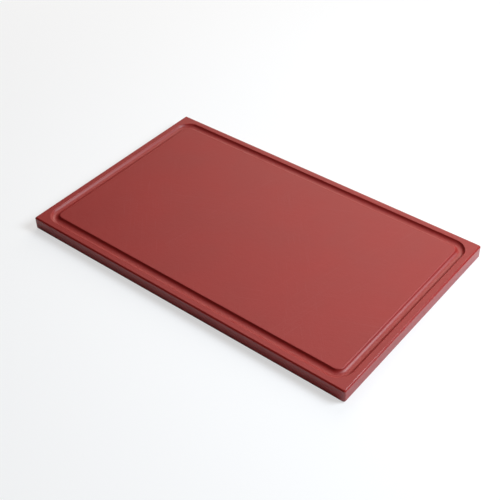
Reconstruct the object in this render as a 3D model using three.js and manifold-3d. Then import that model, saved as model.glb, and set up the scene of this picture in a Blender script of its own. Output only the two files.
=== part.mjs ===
// Gastronorm cutting board: one solid slab of dense plastic with a juice groove
// routed all the way round its top face. Millimetres, +Z up, origin at the centre
// of the underside, +X along the longer sides.

import * as THREE from 'three';
import { mergeVertices } from 'three/addons/utils/BufferGeometryUtils.js';
import Module from 'manifold-3d';

// Slab. Length and width are those of a gastronorm 1/1 tray.
const BOARD_LENGTH = 530;
const BOARD_WIDTH = 325;
const BOARD_THICKNESS = 20;
const CORNER_RADIUS = 3;
const EDGE_CHAMFER = 1.8;

// Juice groove, routed with a round-nosed cutter that has a small flat on its tip.
const GROOVE_INSET = 16.5; // edge of the board to the middle of the groove
const GROOVE_DEPTH = 4.2;
const GROOVE_CORNER_RADIUS = 16; // at the middle of the groove
const CUTTER_NOSE_RADIUS = 6.3;
const CUTTER_TIP_FLAT = 0.6;

// Facets.
const CORNER_FACETS = 6;
const GROOVE_CORNER_FACETS = 12;
const NOSE_FACETS = 8;

const RED_PLASTIC = { color: 0xa44c48, roughness: 0.6, metalness: 0 };

// Rounded rectangle centred on the origin, traced anticlockwise.
function roundedRectangle( PathClass, length, width, radius ) {

	const cornerX = length / 2 - radius;
	const cornerY = width / 2 - radius;
	const corners = [ [ 1, 1 ], [ - 1, 1 ], [ - 1, - 1 ], [ 1, - 1 ] ];
	const outline = new PathClass();
	corners.forEach( ( [ sideX, sideY ], index ) => {

		const start = index * Math.PI / 2;
		outline.absarc( sideX * cornerX, sideY * cornerY, radius, start, start + Math.PI / 2, false );

	} );
	outline.closePath();
	return outline;

}

// The slab before routing, with a chamfer along its upper and lower edges.
function slabBlank() {

	const outline = roundedRectangle( THREE.Shape, BOARD_LENGTH, BOARD_WIDTH, CORNER_RADIUS );
	const blank = new THREE.ExtrudeGeometry( outline, {
		depth: BOARD_THICKNESS - 2 * EDGE_CHAMFER,
		curveSegments: CORNER_FACETS,
		bevelEnabled: true,
		bevelSegments: 1,
		bevelThickness: EDGE_CHAMFER,
		bevelSize: EDGE_CHAMFER,
		bevelOffset: - EDGE_CHAMFER,
	} );
	return blank.translate( 0, 0, EDGE_CHAMFER );

}

// The ring that the cutter sweeps out. It is a strip as wide as the cutter's tip,
// bent round the board, and its rounded bevel on both sides is the cutter's nose.
function grooveSweep() {

	const lineLength = BOARD_LENGTH - 2 * GROOVE_INSET;
	const lineWidth = BOARD_WIDTH - 2 * GROOVE_INSET;
	const strip = ( PathClass, offset ) => roundedRectangle(
		PathClass,
		lineLength + 2 * offset,
		lineWidth + 2 * offset,
		GROOVE_CORNER_RADIUS + offset,
	);
	const ring = strip( THREE.Shape, CUTTER_TIP_FLAT / 2 );
	ring.holes.push( strip( THREE.Path, - CUTTER_TIP_FLAT / 2 ) );
	const sweep = new THREE.ExtrudeGeometry( ring, {
		depth: CUTTER_TIP_FLAT,
		curveSegments: GROOVE_CORNER_FACETS,
		bevelEnabled: true,
		bevelSegments: NOSE_FACETS,
		bevelThickness: CUTTER_NOSE_RADIUS,
		bevelSize: CUTTER_NOSE_RADIUS,
	} );
	const noseCentreHeight = BOARD_THICKNESS - GROOVE_DEPTH + CUTTER_NOSE_RADIUS;
	return sweep.translate( 0, 0, noseCentreHeight );

}

// A closed three.js geometry as a manifold solid.
function toSolid( wasm, geometry ) {

	const bare = geometry.clone();
	bare.deleteAttribute( 'normal' );
	bare.deleteAttribute( 'uv' );
	const merged = mergeVertices( bare );
	const mesh = new wasm.Mesh( {
		numProp: 3,
		vertProperties: new Float32Array( merged.attributes.position.array ),
		triVerts: new Uint32Array( merged.index.array ),
	} );
	return new wasm.Manifold( mesh );

}

// A manifold solid as a three.js geometry.
function toGeometry( solid ) {

	const { vertProperties, triVerts } = solid.getMesh();
	const geometry = new THREE.BufferGeometry();
	geometry.setAttribute( 'position', new THREE.BufferAttribute( vertProperties, 3 ) );
	geometry.setIndex( new THREE.BufferAttribute( triVerts, 1 ) );
	geometry.computeVertexNormals();
	return geometry;

}

const wasm = await Module();
wasm.setup();

const routedSlab = toSolid( wasm, slabBlank() ).subtract( toSolid( wasm, grooveSweep() ) );

const boardSlab = new THREE.Mesh( toGeometry( routedSlab ), new THREE.MeshStandardMaterial( RED_PLASTIC ) );
boardSlab.name = 'board_slab';

const cuttingBoard = new THREE.Group();
cuttingBoard.add( boardSlab );

export default cuttingBoard;
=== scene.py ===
"""A gastronorm cutting board of dyed dense plastic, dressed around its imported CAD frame.

The board is one slab, and its finished surface is one closed sheet. A cross-section runs
from the middle of the cutting face, through the juice groove, over the chamfers and in to
the middle of the underside, and it is carried round the outline of the board.
"""

from __future__ import annotations

import logging
import math
from abc import ABC, abstractmethod
from dataclasses import dataclass, field
from enum import Enum

import bpy
import numpy as np
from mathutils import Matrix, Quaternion, Vector


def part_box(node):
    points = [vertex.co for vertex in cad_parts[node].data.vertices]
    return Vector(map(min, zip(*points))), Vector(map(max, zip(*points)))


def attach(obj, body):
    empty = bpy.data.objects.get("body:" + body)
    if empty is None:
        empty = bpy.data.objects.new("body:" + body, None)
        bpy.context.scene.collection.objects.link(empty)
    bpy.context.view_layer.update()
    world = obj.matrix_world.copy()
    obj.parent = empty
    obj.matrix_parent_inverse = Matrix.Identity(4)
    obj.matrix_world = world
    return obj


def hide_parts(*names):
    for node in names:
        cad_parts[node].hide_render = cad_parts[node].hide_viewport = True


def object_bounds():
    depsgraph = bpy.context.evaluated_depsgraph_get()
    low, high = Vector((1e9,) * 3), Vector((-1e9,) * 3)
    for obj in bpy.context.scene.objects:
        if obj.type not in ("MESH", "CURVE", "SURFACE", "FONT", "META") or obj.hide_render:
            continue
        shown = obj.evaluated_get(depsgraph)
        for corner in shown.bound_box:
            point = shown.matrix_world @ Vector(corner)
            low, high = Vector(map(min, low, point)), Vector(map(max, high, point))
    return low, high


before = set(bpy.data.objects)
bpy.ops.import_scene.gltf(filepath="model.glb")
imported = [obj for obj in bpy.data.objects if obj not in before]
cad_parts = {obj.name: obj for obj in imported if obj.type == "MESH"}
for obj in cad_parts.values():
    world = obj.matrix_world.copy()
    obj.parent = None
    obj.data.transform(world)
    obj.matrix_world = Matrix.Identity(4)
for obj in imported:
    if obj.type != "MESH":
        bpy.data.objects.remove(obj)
cad_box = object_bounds()

LOG = logging.getLogger("cutting_board")
MM = 0.001
CREST_ATTRIBUTE = "crest"
MARKS_MAP = "along_and_across"

Colour = tuple[float, float, float]
Point = tuple[float, float, float]
Socket = bpy.types.NodeSocket


class Zone(Enum):
    """Stretches of the slab's surface that are cut in different ways."""

    CUTTING_FACE = 0
    GROOVE = 1
    EDGE = 2
    UNDERSIDE = 3


# --- Shape -----------------------------------------------------------------------------


@dataclass(frozen=True)
class SlabSizes:
    """Sizes of the slab in metres. Length, width and thickness come from the frame."""

    length: float
    width: float
    thickness: float
    corner_radius: float = 3 * MM
    chamfer: float = 1.8 * MM
    chamfer_softening: float = 0.6 * MM
    groove_inset: float = 16.5 * MM
    groove_depth: float = 4.2 * MM
    groove_corner_radius: float = 16 * MM
    nose_radius: float = 6.3 * MM
    tip_flat: float = 0.6 * MM
    lip_radius: float = 1.5 * MM

    @classmethod
    def from_frame(cls, node: str) -> SlabSizes:
        """Read the overall sizes from a CAD node.

        Args:
            node: Name of the CAD node that is the slab.

        Returns:
            The sizes, with those of the chamfer and the cutter at their defaults.
        """
        low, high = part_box(node)
        return cls(*(high - low))


@dataclass(frozen=True)
class Outline:
    """How the points of a ring round the board are spread over its corners and sides."""

    corner_steps: int = 16
    long_side_steps: int = 30
    short_side_steps: int = 18

    def samples(self) -> tuple[np.ndarray, np.ndarray]:
        """Spread the samples of one turn, anticlockwise seen from above.

        Corner number k spans the angles from k to k + 1 quarter turns, on the side of the
        board given by the signs of its middle direction. Between two corners the angle
        stays, and the side blends evenly from one corner's signs to the next one's.

        Returns:
            The side, as a signed share of the half size along X and Y, and the outward
            direction, as a unit vector. Both have a row per sample.
        """
        quarter = math.pi / 2
        sides, angles = [], []
        for corner, steps in enumerate((self.long_side_steps, self.short_side_steps) * 2):
            turned = corner * quarter + np.array((0.5, 1.5)) * quarter
            here, following = np.sign(np.column_stack((np.cos(turned), np.sin(turned))))
            share = (np.arange(1, steps) / steps)[:, None]
            sides += [np.tile(here, (self.corner_steps + 1, 1)), here + share * (following - here)]
            angles += [
                (corner + np.arange(self.corner_steps + 1) / self.corner_steps) * quarter,
                np.full(steps - 1, (corner + 1) * quarter),
            ]
        angle = np.concatenate(angles)
        return np.concatenate(sides), np.column_stack((np.cos(angle), np.sin(angle)))


@dataclass(frozen=True)
class CrossSection:
    """Stations from the middle of the cutting face out and round to the underside.

    Attributes:
        inset: Distance in from the board's edge, per station.
        height: Height above the underside, per station.
        shrink: Scale about the board's middle, per station. It is 1 except on the fields.
        crest: 1 on a chamfer's softened edges and where a lip of the groove runs out onto
            the face, falling to 0 down the lip. It is 0 elsewhere.
        zone: Zone number of the band from a station to the next.
    """

    inset: np.ndarray
    height: np.ndarray
    shrink: np.ndarray
    crest: np.ndarray
    zone: np.ndarray


def arc(centre: tuple[float, float], radius: float, start: float, end: float, steps: int) -> np.ndarray:
    """Points on an arc of the cross-section: centre + radius * (cos, sin) of the angle.

    Args:
        centre: Inset and height of the arc's centre.
        radius: Radius in metres.
        start: First angle in degrees. 0 points to a larger inset and 90 points up.
        end: Last angle in degrees.
        steps: Number of chords.

    Returns:
        Rows of inset and height, one more than steps.
    """
    angle = np.radians(np.linspace(start, end, steps + 1))
    return np.array(centre) + radius * np.column_stack((np.cos(angle), np.sin(angle)))


def supports(before: np.ndarray, after: np.ndarray, gap: float) -> np.ndarray:
    """Two points on the straight line between two others, each a gap away from its end.

    They keep smooth shading flat on a flat stretch between two curves.

    Args:
        before: Inset and height of the line's start.
        after: Inset and height of its end.
        gap: Distance from either end, in metres.

    Returns:
        Two rows of inset and height.
    """
    step = (after - before) / np.linalg.norm(after - before) * gap
    return np.array((before + step, after - step))


@dataclass
class SlabSurface:
    """The slab's finished surface, as a section and the rings that carry it."""

    sizes: SlabSizes
    outline: Outline = field(default_factory=Outline)
    lip_steps: int = 6
    nose_steps: int = 14
    softening_steps: int = 3
    field_steps: int = 6
    support_gap: float = 0.15 * MM

    def groove_section(self) -> tuple[np.ndarray, np.ndarray]:
        """Section of the groove from its inner lip to its outer lip.

        The nose is an arc of the cutter's radius on either side of the flat tip. A lip is
        a small arc that touches the top face and the nose, so its centre is the sum of
        the two radii away from the nose's centre.

        Returns:
            Rows of inset and height, and the crest value of each.
        """
        s = self.sizes
        nose_height = s.thickness - s.groove_depth + s.nose_radius
        lip_height = s.thickness - s.lip_radius
        reach = s.nose_radius + s.lip_radius
        rise = nose_height - lip_height
        spread = math.sqrt(reach**2 - rise**2)
        lean = math.degrees(math.atan2(rise, spread))
        nose = s.groove_inset + s.tip_flat / 2
        lip = arc((nose + spread, lip_height), s.lip_radius, 90, 180 - lean, self.lip_steps)
        wall = arc((nose, nose_height), s.nose_radius, -lean, -90, self.nose_steps)[1:]
        inner = np.concatenate((lip, wall))
        outer = inner[::-1] * (-1, 1) + (2 * s.groove_inset, 0)
        crest = np.concatenate((np.linspace(1, 0, len(lip)), np.zeros(len(wall))))
        return np.concatenate((inner, outer)), np.concatenate((crest, crest[::-1]))

    def edge_section(self) -> tuple[np.ndarray, np.ndarray]:
        """Section of the edge: the upper chamfer, the upright side, the lower chamfer.

        A chamfer turns the section by 45 degrees at either end, softened by an arc whose
        tangent length is the softening radius times tan(22.5 degrees).

        Returns:
            Rows of inset and height, and the crest value of each.
        """
        s = self.sizes
        soft = s.chamfer_softening
        tangent = soft * math.tan(math.radians(22.5))
        steps = self.softening_steps
        shoulder = arc((s.chamfer + tangent, s.thickness - soft), soft, 90, 135, steps)
        corner = arc((soft, s.thickness - s.chamfer - tangent), soft, 135, 180, steps)
        slope = supports(shoulder[-1], corner[0], self.support_gap)
        side = corner[-1:] - (0, self.support_gap)
        upper = np.concatenate((shoulder, slope, corner, side))
        lower = upper[::-1] * (1, -1) + (0, s.thickness)
        crest = np.repeat((1.0, 0.0, 1.0, 0.0), (len(shoulder), len(slope), len(corner), len(side)))
        return np.concatenate((upper, lower)), np.concatenate((crest, crest[::-1]))

    def cross_section(self) -> CrossSection:
        """Join the two flat fields, the groove, the rim and the edge into one section.

        The fields on the cutting face and the underside run in to the middle by scaling.

        Returns:
            The stations in order.
        """
        groove, groove_crest = self.groove_section()
        edge, edge_crest = self.edge_section()
        gap = (self.support_gap, 0)
        inward = np.arange(1, self.field_steps + 1) / self.field_steps
        face = np.tile(groove[0] + gap, (self.field_steps, 1))
        base = np.tile(edge[-1] + gap, (self.field_steps, 1))
        rim = supports(groove[-1], edge[0], self.support_gap)
        runs = (face, groove, rim, edge, base)
        lengths = [len(run) for run in runs]
        points = np.concatenate(runs)
        shrink = np.concatenate((inward, np.ones(sum(lengths[1:-1])), inward[::-1]))
        crest = np.concatenate(
            (np.zeros(len(face)), groove_crest, np.zeros(len(rim)), edge_crest, np.zeros(len(base)))
        )
        zones = (Zone.CUTTING_FACE, Zone.GROOVE, Zone.CUTTING_FACE, Zone.EDGE, Zone.UNDERSIDE)
        zone = np.repeat([zone.value for zone in zones], lengths)
        return CrossSection(points[:, 0], points[:, 1], shrink, crest, zone)

    def corner_radius(self, inset: np.ndarray) -> np.ndarray:
        """Corner radius, seen from above, of the ring at each inset.

        Over the edge a ring runs parallel to the board's outline, and from the groove
        inwards it runs parallel to the cutter's path. On the flat rim it blends the two,
        and the blend ends a little before the groove's outer lip.

        Args:
            inset: Distance in from the board's edge.

        Returns:
            The radius for each inset.
        """
        s = self.sizes
        edge_end = s.chamfer + s.chamfer_softening
        blend_end = s.groove_inset - s.nose_radius - s.lip_radius - s.tip_flat
        share = np.clip((inset - edge_end) / (blend_end - edge_end), 0, 1)
        along_edge = s.corner_radius - inset
        along_groove = s.groove_corner_radius + s.groove_inset - inset
        return along_edge * (1 - share) + along_groove * share

    def rings(self, section: CrossSection) -> np.ndarray:
        """Carry the section round the board.

        In plan a point is side * (half size - inset - radius) + radius * direction, all
        scaled by the station's shrink. Its height is the station's own. On the underside
        the rings keep the corner radius that they have where the chamfer ends.

        Args:
            section: The stations.

        Returns:
            Points by station and by sample, with x, y and z last.
        """
        s = self.sizes
        side, direction = self.outline.samples()
        on_underside = section.zone == Zone.UNDERSIDE.value
        radius_inset = np.where(on_underside, np.minimum(section.inset, s.chamfer), section.inset)
        radius = self.corner_radius(radius_inset)[:, None, None]
        half = np.array((s.length, s.width)) / 2 - section.inset[:, None]
        plan = side * (half[:, None, :] - radius) + radius * direction
        plan = plan * section.shrink[:, None, None]
        height = np.broadcast_to(section.height[:, None, None], plan.shape[:2] + (1,))
        return np.concatenate((plan, height), axis=2)

    def marks_coordinates(self, section: CrossSection, points: np.ndarray) -> tuple[np.ndarray, np.ndarray]:
        """Lengths, in metres, along the cutter's path and across it.

        The length along is measured once, on the ring in the middle of the groove, so
        that marks square to the path stay square to it on every other ring.

        Args:
            section: The stations.
            points: The rings' points.

        Returns:
            Length along for each sample and the closing one, and length across for each
            station.
        """
        middle = int(np.argmin(np.abs(section.inset - self.sizes.groove_inset)))
        ring = points[middle]
        along = np.linalg.norm(np.roll(ring, -1, axis=0) - ring, axis=1).cumsum()
        steps = np.hypot(np.diff(section.inset), np.diff(section.height))
        return np.concatenate(([0.0], along)), np.concatenate(([0.0], steps.cumsum()))

    def faces(self, stations: int, samples: int) -> list[list[int]]:
        """Join the rings into a closed skin that faces outwards.

        Point number station * samples + sample belongs to a ring. Two more points follow
        the rings: the middle of the cutting face and the middle of the underside.

        Args:
            stations: Number of rings.
            samples: Number of points in a ring.

        Returns:
            The point numbers of each face: four-sided bands, then two fans of triangles.
        """
        station = np.arange(stations - 1)[:, None] * samples
        here = np.arange(samples)
        following = np.roll(here, -1)
        bands = np.stack(
            (
                station + here,
                station + samples + here,
                station + samples + following,
                station + following,
            ),
            axis=-1,
        )
        last_ring = (stations - 1) * samples
        top_middle = np.full(samples, stations * samples)
        base_middle = top_middle + 1
        top_fan = np.column_stack((top_middle, here, following))
        base_fan = np.column_stack((base_middle, last_ring + following, last_ring + here))
        return bands.reshape(-1, 4).tolist() + top_fan.tolist() + base_fan.tolist()

    def marks_map(self, section: CrossSection, points: np.ndarray) -> np.ndarray:
        """Lay the marks' coordinates out corner by corner, in the order of the faces.

        Args:
            section: The stations.
            points: The rings' points.

        Returns:
            A row of length along and length across for each face corner.
        """
        along, across = self.marks_coordinates(section, points)
        near, far = along[:-1], along[1:]
        upper, lower = across[:-1], across[1:]
        band_along = np.tile(np.column_stack((near, near, far, far)), (len(upper), 1))
        band_across = np.repeat(np.column_stack((upper, lower, lower, upper)), len(near), axis=0)
        top_along = np.column_stack((near, near, far))
        base_along = np.column_stack((near, far, near))
        fan_along = np.concatenate((top_along, base_along))
        bands = np.column_stack((band_along.ravel(), band_across.ravel()))
        fans = np.column_stack((fan_along.ravel(), np.zeros(fan_along.size)))
        return np.concatenate((bands, fans))

    def build(self, name: str) -> bpy.types.Object:
        """Make the closed mesh, with its zones, its crests and the map of its marks.

        Args:
            name: Name of the piece and its mesh.

        Returns:
            The object, at the origin.
        """
        section = self.cross_section()
        points = self.rings(section)
        stations, samples = points.shape[:2]
        middles = ((0, 0, section.height[0]), (0, 0, section.height[-1]))
        vertices = np.concatenate((points.reshape(-1, 3), middles))
        mesh = bpy.data.meshes.new(name)
        mesh.from_pydata(vertices.tolist(), [], self.faces(stations, samples))

        band_zones = np.append(section.zone[:-1], (Zone.CUTTING_FACE.value, Zone.UNDERSIDE.value))
        face_zones = np.repeat(band_zones, samples).astype(np.int32)
        mesh.polygons.foreach_set("material_index", face_zones)
        mesh.polygons.foreach_set("use_smooth", np.ones(len(face_zones), bool))

        crest_values = np.append(np.repeat(section.crest, samples), (0, 0)).astype(np.float32)
        crest = mesh.attributes.new(CREST_ATTRIBUTE, "FLOAT", "POINT")
        crest.data.foreach_set("value", crest_values)
        marks = self.marks_map(section, points).astype(np.float32)
        mesh.uv_layers.new(name=MARKS_MAP).data.foreach_set("uv", marks.ravel())

        mesh.update()
        piece = bpy.data.objects.new(name, mesh)
        bpy.context.scene.collection.objects.link(piece)
        return piece


# --- Finishes --------------------------------------------------------------------------


@dataclass
class Wiring:
    """A node tree that is being wired, with short ways to add nodes and link them."""

    tree: bpy.types.NodeTree

    def add(self, kind: str, **settings: object) -> bpy.types.Node:
        """Add a node.

        Args:
            kind: The node's type name, without ShaderNode where it starts with that.
            settings: Properties of the node, such as operation.

        Returns:
            The node.
        """
        prefix = "" if kind.startswith("Node") else "ShaderNode"
        node = self.tree.nodes.new(prefix + kind)
        for key, value in settings.items():
            setattr(node, key, value)
        return node

    def feed(self, node: bpy.types.Node, **inputs: Socket | float | tuple) -> bpy.types.Node:
        """Set or link a node's inputs.

        Args:
            node: The node.
            inputs: Socket or plain value for each input. An input is named by its label
                with underscores for spaces, or by its place, such as i0.

        Returns:
            The same node.
        """
        for key, value in inputs.items():
            by_place = key[0] == "i" and key[1:].isdigit()
            socket = node.inputs[int(key[1:]) if by_place else key.replace("_", " ")]
            if isinstance(value, Socket):
                self.tree.links.new(value, socket)
            else:
                socket.default_value = value
        return node

    def math(self, operation: str, *values: Socket | float, clamp: bool = False) -> Socket:
        """Add a Math node on one or two values and return its output."""
        node = self.add("Math", operation=operation, use_clamp=clamp)
        self.feed(node, **{f"i{place}": value for place, value in enumerate(values)})
        return node.outputs[0]

    def spread(self, value: Socket, low: float, high: float) -> Socket:
        """Add a Map Range node that takes 0 to 1 to low to high and return its output."""
        node = self.feed(self.add("MapRange"), Value=value, To_Min=low, To_Max=high)
        return node.outputs["Result"]

    def window(self, value: Socket, low: float, high: float) -> Socket:
        """Add a Map Range node that takes low to high to 0 to 1 and return its output."""
        node = self.feed(self.add("MapRange"), Value=value, From_Min=low, From_Max=high)
        return node.outputs["Result"]

    def noise(self, vector: Socket, scale: Socket | float, **settings: float) -> Socket:
        """Add a Noise Texture node and return its value, which is about 0.5 on average.

        Args:
            vector: Where the noise is read.
            scale: Lumps per unit of the vector.
            settings: Its other inputs, such as Detail.

        Returns:
            The value's socket.
        """
        node = self.feed(self.add("TexNoise"), Vector=vector, Scale=scale, **settings)
        return node.outputs["Fac"]


@dataclass(frozen=True)
class Effect(ABC):
    """A shader node group that several finishes share."""

    name: str

    @abstractmethod
    def group(self) -> bpy.types.NodeTree:
        """Build the node group and return it."""

    def start(self, vector: str, sizes: dict[str, float], outputs: tuple[str, ...]) -> Wiring:
        """Start the group with its named sockets.

        Args:
            vector: Name of the input for the coordinates.
            sizes: Default value for the name of each other input.
            outputs: Names of the outputs.

        Returns:
            The group's wiring, with nothing in it but the sockets.
        """
        group = bpy.data.node_groups.new(self.name, "ShaderNodeTree")
        group.interface.new_socket(vector, in_out="INPUT", socket_type="NodeSocketVector")
        for label, value in sizes.items():
            socket = group.interface.new_socket(label, in_out="INPUT", socket_type="NodeSocketFloat")
            socket.default_value = value
        for label in outputs:
            group.interface.new_socket(label, in_out="OUTPUT", socket_type="NodeSocketFloat")
        return Wiring(group)


@dataclass(frozen=True)
class PressedGrain(Effect):
    """Fine matte grain that the press plates leave on the sheet, and a slow mottle.

    Height, in metres, is the grain's depth times the sum of a fine noise and of a coarser,
    softer one. Mottle is a slow noise from 0 to 1 that shifts colour and roughness.
    """

    name: str = "pressed_grain"
    grain_size: float = 1.4 * MM
    grain_depth: float = 0.1 * MM
    mottle_size: float = 60 * MM
    coarse_ratio: float = 4.0

    def group(self) -> bpy.types.NodeTree:
        """Build the node group.

        Returns:
            The group.
        """
        sizes = {
            "Grain Size": self.grain_size,
            "Grain Depth": self.grain_depth,
            "Mottle Size": self.mottle_size,
        }
        w = self.start("Vector", sizes, ("Height", "Mottle"))
        source = w.add("NodeGroupInput").outputs
        place = source["Vector"]
        fine_scale = w.math("DIVIDE", 1.0, source["Grain Size"])
        coarse_scale = w.math("DIVIDE", fine_scale, self.coarse_ratio)
        mottle_scale = w.math("DIVIDE", 1.0, source["Mottle Size"])
        fine = w.noise(place, fine_scale, Detail=2.0, Roughness=0.6)
        coarse = w.noise(place, coarse_scale, Detail=1.0)
        mottle = w.noise(place, mottle_scale, Detail=3.0, Roughness=0.55)
        height = w.math("MULTIPLY", w.math("ADD", fine, coarse), source["Grain Depth"])
        w.feed(w.add("NodeGroupOutput"), Height=height, Mottle=mottle)
        return w.tree


@dataclass(frozen=True)
class CutterMarks(Effect):
    """Marks that a turning cutter leaves: ripples square to its path, and long streaks.

    A ripple is a sine of the length along the path over the feed per turn, made uneven
    by a slow noise. A streak is a noise drawn out along the path. Both are in metres.
    """

    name: str = "cutter_marks"
    feed: float = 1.6 * MM
    ripple_depth: float = 0.02 * MM
    ripple_patch: float = 20 * MM
    streak_width: float = 0.9 * MM
    streak_depth: float = 0.05 * MM
    streak_length: float = 60 * MM

    def group(self) -> bpy.types.NodeTree:
        """Build the node group.

        Returns:
            The group.
        """
        sizes = {
            "Feed": self.feed,
            "Ripple Depth": self.ripple_depth,
            "Streak Width": self.streak_width,
            "Streak Depth": self.streak_depth,
        }
        w = self.start("Along And Across", sizes, ("Height",))
        source = w.add("NodeGroupInput").outputs
        parts = w.feed(w.add("SeparateXYZ"), Vector=source["Along And Across"])
        along, across = parts.outputs["X"], parts.outputs["Y"]
        turns = w.math("MULTIPLY", w.math("DIVIDE", along, source["Feed"]), math.tau)
        slow = w.add("TexNoise", noise_dimensions="1D")
        w.feed(slow, W=along, Scale=1 / self.ripple_patch, Detail=1.0)
        ripple = w.math("MULTIPLY", w.math("SINE", turns), slow.outputs["Fac"])
        drawn_out = w.feed(
            w.add("CombineXYZ"),
            X=w.math("MULTIPLY", along, 1 / self.streak_length),
            Y=w.math("DIVIDE", across, source["Streak Width"]),
        )
        streaks = w.noise(drawn_out.outputs["Vector"], 1.0, Detail=2.0)
        height = w.math(
            "ADD",
            w.math("MULTIPLY", ripple, source["Ripple Depth"]),
            w.math("MULTIPLY", streaks, source["Streak Depth"]),
        )
        w.feed(w.add("NodeGroupOutput"), Height=height)
        return w.tree


@dataclass(frozen=True)
class HandlingScuffs(Effect):
    """Faint fine scuffs from stacking and wiping, as a mask from 0 to 1.

    Each layer is a noise drawn out in one direction, of which only the highest peaks are
    kept, as separate strokes, and a slow noise leaves them in patches.

    Attributes:
        layers: Direction in degrees from +X, and width over length, of each layer.
        stroke_window: Values of the drawn-out noise where a stroke starts and is full.
        patch_window: Values of the slow noise where a patch starts and is full.
    """

    name: str = "handling_scuffs"
    width: float = 0.9 * MM
    patch_size: float = 45 * MM
    layers: tuple[tuple[float, float], ...] = ((25, 0.012), (-48, 0.020), (78, 0.015))
    stroke_window: tuple[float, float] = (0.66, 0.78)
    patch_window: tuple[float, float] = (0.50, 0.62)

    def group(self) -> bpy.types.NodeTree:
        """Build the node group.

        Returns:
            The group.
        """
        w = self.start("Vector", {"Width": self.width}, ("Mask",))
        source = w.add("NodeGroupInput").outputs
        stroke_scale = w.math("DIVIDE", 1.0, source["Width"])
        mask: Socket | float = 0.0
        for direction, slimness in self.layers:
            mapping = w.feed(
                w.add("Mapping", vector_type="TEXTURE"),
                Vector=source["Vector"],
                Rotation=(0, 0, math.radians(direction)),
                Scale=(1 / slimness, 1, 1),
            )
            turned = mapping.outputs["Vector"]
            stroke = w.window(w.noise(turned, stroke_scale, Detail=0.0), *self.stroke_window)
            patch = w.window(w.noise(turned, 1 / self.patch_size, Detail=1.0), *self.patch_window)
            mask = w.math("ADD", w.math("MULTIPLY", stroke, patch), mask, clamp=True)
        w.feed(w.add("NodeGroupOutput"), Mask=mask)
        return w.tree


@dataclass(frozen=True)
class PlasticFinish:
    """How one zone of the dyed plastic is surfaced. Lengths are in metres.

    Attributes:
        name: The material's name.
        colour: Linear colour of the dye.
        roughness: Roughness away from the crests.
        grain_size: Size of the grain's finest lumps.
        grain_depth: Height of the grain.
        feed: Distance between two ripples.
        ripple_depth: Height of the ripples.
        streak_width: Width of a streak.
        streak_depth: Height of the streaks.
        scuff_dullness: Roughness that a scuff adds.
        scuff_paleness: White that a scuff adds.
        mottle_size: Size of the mottle's lumps.
        mottle_share: Share of the dye's brightness that drifts with the mottle.
        unevenness: Share of the roughness that drifts with the mottle.
        crest_lift: Share of brightness that a crest adds.
        crest_roughness: Roughness on the crests.
        refraction: Refractive index of the plastic.
    """

    name: str
    colour: Colour
    roughness: float
    grain_size: float = 1.4 * MM
    grain_depth: float = 0.11 * MM
    feed: float = 1.6 * MM
    ripple_depth: float = 0.0
    streak_width: float = 0.9 * MM
    streak_depth: float = 0.0
    scuff_dullness: float = 0.0
    scuff_paleness: float = 0.0
    mottle_size: float = 70 * MM
    mottle_share: float = 0.10
    unevenness: float = 0.08
    crest_lift: float = 0.08
    crest_roughness: float = 0.60
    refraction: float = 1.5

    def dress(self, groups: dict[str, bpy.types.NodeTree]) -> bpy.types.Material:
        """Make the material.

        The dye's brightness and the roughness drift with the mottle. On the crests the
        dye is a little brighter and the roughness turns to the crests' own one. Scuffs
        are duller strokes, to which a little white is added.

        Args:
            groups: The shared node groups by name.

        Returns:
            The material.
        """
        material = bpy.data.materials.new(self.name)
        material.use_nodes = True
        w = Wiring(material.node_tree)
        w.tree.nodes.clear()
        place = w.add("TexCoord").outputs["Object"]
        marks = w.add("UVMap", uv_map=MARKS_MAP).outputs["UV"]
        crest = w.add("Attribute", attribute_name=CREST_ATTRIBUTE).outputs["Fac"]

        grain = w.feed(
            w.add("Group", node_tree=groups["pressed_grain"]),
            Vector=place,
            Grain_Size=self.grain_size,
            Grain_Depth=self.grain_depth,
            Mottle_Size=self.mottle_size,
        )
        cutter = w.feed(
            w.add("Group", node_tree=groups["cutter_marks"]),
            Along_And_Across=marks,
            Feed=self.feed,
            Ripple_Depth=self.ripple_depth,
            Streak_Width=self.streak_width,
            Streak_Depth=self.streak_depth,
        )
        scuffs = w.feed(w.add("Group", node_tree=groups["handling_scuffs"]), Vector=place)

        mottle, scuff = grain.outputs["Mottle"], scuffs.outputs["Mask"]
        drift = w.spread(mottle, 1 - self.mottle_share, 1 + self.mottle_share)
        brightness = w.math("ADD", drift, w.math("MULTIPLY", crest, self.crest_lift))
        dyed = w.feed(w.add("VectorMath", operation="SCALE"), i0=self.colour, Scale=brightness)
        colour = w.feed(
            w.add("VectorMath", operation="ADD"),
            i0=dyed.outputs["Vector"],
            i1=w.math("MULTIPLY", scuff, self.scuff_paleness),
        )

        cut_roughness = w.spread(crest, self.roughness, self.crest_roughness)
        uneven = w.spread(mottle, 1 - self.unevenness, 1 + self.unevenness)
        scuffed = w.math("MULTIPLY", scuff, self.scuff_dullness)
        roughness = w.math("ADD", w.math("MULTIPLY", cut_roughness, uneven), scuffed)

        height = w.math("ADD", grain.outputs["Height"], cutter.outputs["Height"])
        bump = w.feed(w.add("Bump"), Height=height, Distance=1.0, Strength=1.0)

        plastic = w.feed(
            w.add("BsdfPrincipled"),
            Base_Color=colour.outputs["Vector"],
            Roughness=roughness,
            Normal=bump.outputs["Normal"],
            IOR=self.refraction,
        )
        w.feed(w.add("OutputMaterial"), Surface=plastic.outputs["BSDF"])
        return material


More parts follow.
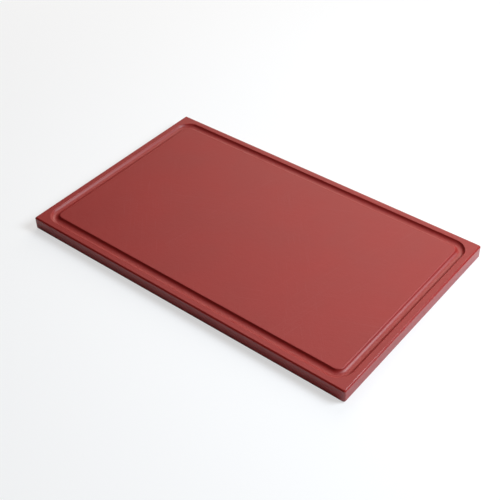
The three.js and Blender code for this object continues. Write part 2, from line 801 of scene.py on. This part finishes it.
@dataclass(frozen=True)
class BoardFinishes:
    """The finishes of the slab's zones, all of one dye right through."""

    dye: Colour = (0.261, 0.0131, 0.0096)

    def of(self, zone: Zone) -> PlasticFinish:
        """Give a zone's finish.

        Args:
            zone: The zone.

        Returns:
            Its finish.
        """
        return {
            Zone.CUTTING_FACE: PlasticFinish(
                "pressed_face", self.dye, 0.60, scuff_dullness=0.06, scuff_paleness=0.012
            ),
            Zone.GROOVE: PlasticFinish(
                "routed_groove",
                self.dye,
                0.46,
                grain_depth=0.03 * MM,
                ripple_depth=0.02 * MM,
                streak_depth=0.05 * MM,
            ),
            Zone.EDGE: PlasticFinish(
                "planed_edge",
                self.dye,
                0.33,
                grain_depth=0.03 * MM,
                ripple_depth=0.016 * MM,
                streak_depth=0.10 * MM,
                crest_roughness=0.30,
            ),
            Zone.UNDERSIDE: PlasticFinish(
                "pressed_underside", self.dye, 0.60, scuff_dullness=0.08, scuff_paleness=0.035
            ),
        }[zone]


# --- Board -----------------------------------------------------------------------------


@dataclass
class CuttingBoard:
    """The board: one slab that stands for the CAD slab."""

    node: str = "board_slab"
    body: str = "root"
    slot: str = "red_polyethylene"
    name: str = "board_slab_finished"
    finishes: BoardFinishes = field(default_factory=BoardFinishes)
    effects: tuple[Effect, ...] = (PressedGrain(), CutterMarks(), HandlingScuffs())

    def build(self) -> list[bpy.types.Object]:
        """Build the slab, dress it and tie it to the frame.

        Returns:
            The board's pieces.
        """
        surface = SlabSurface(SlabSizes.from_frame(self.node))
        slab = surface.build(self.name)
        groups = {effect.name: effect.group() for effect in self.effects}
        for zone in Zone:
            slab.data.materials.append(self.finishes.of(zone).dress(groups))
        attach(slab, self.body)
        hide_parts(self.node)
        return [slab]


# --- Studio ----------------------------------------------------------------------------


@dataclass(frozen=True)
class Softbox:
    """A square diffused lamp that faces the board. Lengths are in metres.

    Attributes:
        name: The lamp's name.
        bearing: Degrees clockwise from +Y, seen from above, so that 90 is +X.
        elevation: Degrees above the floor.
        distance: From the board's middle to the lamp.
        size: Side of its square face.
        power: In watts.
        colour: Linear tint of its light.
    """

    name: str
    bearing: float
    elevation: float
    distance: float
    size: float
    power: float
    colour: Colour = (1.0, 1.0, 1.0)

    def build(self, aim: Vector) -> bpy.types.Object:
        """Hang the lamp.

        Args:
            aim: The point that it faces.

        Returns:
            The lamp.
        """
        lamp = bpy.data.lights.new(self.name, "AREA")
        lamp.shape = "SQUARE"
        lamp.size = self.size
        lamp.energy = self.power
        lamp.color = self.colour
        bearing, elevation = math.radians(self.bearing), math.radians(self.elevation)
        level = math.cos(elevation)
        away = Vector((math.sin(bearing) * level, math.cos(bearing) * level, math.sin(elevation)))
        holder = bpy.data.objects.new(self.name, lamp)
        holder.rotation_mode = "QUATERNION"
        holder.rotation_quaternion = away.to_track_quat("Z", "Y")
        holder.location = aim + away * self.distance
        bpy.context.scene.collection.objects.link(holder)
        return holder


@dataclass(frozen=True)
class Studio:
    """A white floor that runs out into a white surround, and three soft lamps.

    The lamps light the board, with the light that the floor throws back and a trace from
    the surround. Straight to the camera, the floor and the surround glow as well, as a
    backlit backdrop does. Near the board the glow is a share of what shows, which keeps
    its shadow soft, and the share grows to 1 where the floor runs out.

    Attributes:
        floor_half_size: Half the side of the floor, in metres.
        floor_drop: Gap between the floor and the board's underside, in metres.
        floor_colour: Linear colour of the floor.
        glow_share: Share of the glow near the board.
        glow_strength: Brightness of the glow.
        full_glow_start: Distance from the board's middle where the share starts to grow.
        full_glow_radius: Distance from the board's middle where the share is 1.
        surround_strength: Brightness of the surround, as the board sees it.
        lamps: The lamps.
    """

    floor_half_size: float = 4.0
    floor_drop: float = 0.2 * MM
    floor_colour: Colour = (0.88, 0.88, 0.88)
    glow_share: float = 0.6
    glow_strength: float = 0.956
    full_glow_start: float = 0.45
    full_glow_radius: float = 1.6
    surround_strength: float = 0.01
    lamps: tuple[Softbox, ...] = (
        Softbox("key_softbox", 62.4, 43.6, 1.68, 0.73, 35.8, (0.922, 1.0, 1.078)),
        Softbox("back_softbox", 338.8, 31.7, 2.32, 1.74, 28.8, (1.10, 1.0, 0.90)),
        Softbox("overhead_softbox", 275.0, 68.0, 1.8, 1.2, 5.1),
    )

    def build_floor(self) -> bpy.types.Object:
        """Lay the floor just under the board.

        Returns:
            The floor.
        """
        half = self.floor_half_size
        corners = np.array(((-1, -1), (1, -1), (1, 1), (-1, 1))) * half
        heights = np.full((4, 1), -self.floor_drop)
        mesh = bpy.data.meshes.new("floor")
        mesh.from_pydata(np.hstack((corners, heights)).tolist(), [], [(0, 1, 2, 3)])
        mesh.materials.append(self.dress_floor())
        floor = bpy.data.objects.new("floor", mesh)
        bpy.context.scene.collection.objects.link(floor)
        return floor

    def dress_floor(self) -> bpy.types.Material:
        """Make the floor's matte white, with its glow for the camera.

        Returns:
            The material.
        """
        material = bpy.data.materials.new("white_floor")
        material.use_nodes = True
        w = Wiring(material.node_tree)
        w.tree.nodes.clear()
        matte = w.feed(w.add("BsdfDiffuse"), Color=(*self.floor_colour, 1.0))
        glow = w.feed(w.add("Emission"), Strength=self.glow_strength)
        seen = w.add("LightPath").outputs["Is Camera Ray"]
        place = w.add("TexCoord").outputs["Object"]
        away = w.feed(w.add("VectorMath", operation="LENGTH"), i0=place)
        share = w.feed(
            w.add("MapRange", interpolation_type="SMOOTHSTEP"),
            Value=away.outputs["Value"],
            From_Min=self.full_glow_start,
            From_Max=self.full_glow_radius,
            To_Min=self.glow_share,
            To_Max=1.0,
        )
        mixed = w.feed(
            w.add("MixShader"),
            i0=w.math("MULTIPLY", seen, share.outputs["Result"]),
            i1=matte.outputs["BSDF"],
            i2=glow.outputs["Emission"],
        )
        w.feed(w.add("OutputMaterial"), Surface=mixed.outputs["Shader"])
        return material

    def build_surround(self) -> bpy.types.World:
        """Surround the scene with white, bright to the camera and dim to the board.

        Returns:
            The world.
        """
        world = bpy.data.worlds.new("white_surround")
        world.use_nodes = True
        w = Wiring(world.node_tree)
        w.tree.nodes.clear()
        seen = w.add("LightPath").outputs["Is Camera Ray"]
        strength = w.spread(seen, self.surround_strength, self.glow_strength)
        white = w.feed(w.add("Background"), Color=(1.0, 1.0, 1.0, 1.0), Strength=strength)
        w.feed(w.add("OutputWorld"), Surface=white.outputs["Background"])
        bpy.context.scene.world = world
        return world

    def build(self, aim: Vector) -> None:
        """Set up the floor, the surround and the lamps.

        Args:
            aim: The point that the lamps face.
        """
        self.build_floor()
        self.build_surround()
        for lamp in self.lamps:
            lamp.build(aim)
            LOG.info("lamp %s", lamp.name)
        bpy.context.scene.view_settings.view_transform = "Standard"


@dataclass(frozen=True)
class BoardCamera:
    """The camera, in metres from the middle of the underside."""

    location: Point = (0.6502, -0.7945, 0.8771)
    aim: Point = (0.0223, -0.0334, 0.0200)
    roll_degrees: float = -1.543
    lens_mm: float = 69.758
    nearest: float = 0.05
    farthest: float = 20.0

    def build(self) -> bpy.types.Object:
        """Place the camera and make it the scene's.

        Returns:
            The camera.
        """
        data = bpy.data.cameras.new("board_camera")
        data.lens = self.lens_mm
        data.clip_start = self.nearest
        data.clip_end = self.farthest
        camera = bpy.data.objects.new("board_camera", data)
        camera.location = self.location
        towards = Vector(self.aim) - Vector(self.location)
        level = towards.to_track_quat("-Z", "Y")
        camera.rotation_mode = "QUATERNION"
        camera.rotation_quaternion = level @ Quaternion((0, 0, 1), math.radians(self.roll_degrees))
        bpy.context.scene.collection.objects.link(camera)
        bpy.context.scene.camera = camera
        return camera


def main() -> None:
    """Build the camera, the board and the studio."""
    logging.basicConfig(level=logging.INFO, format="%(name)s: %(message)s")
    BoardCamera().build()
    for piece in CuttingBoard().build():
        LOG.info("piece %s, %d faces", piece.name, len(piece.data.polygons))
    middle = (cad_box[0] + cad_box[1]) / 2
    Studio().build(middle)


if __name__ == "__main__":
    main()
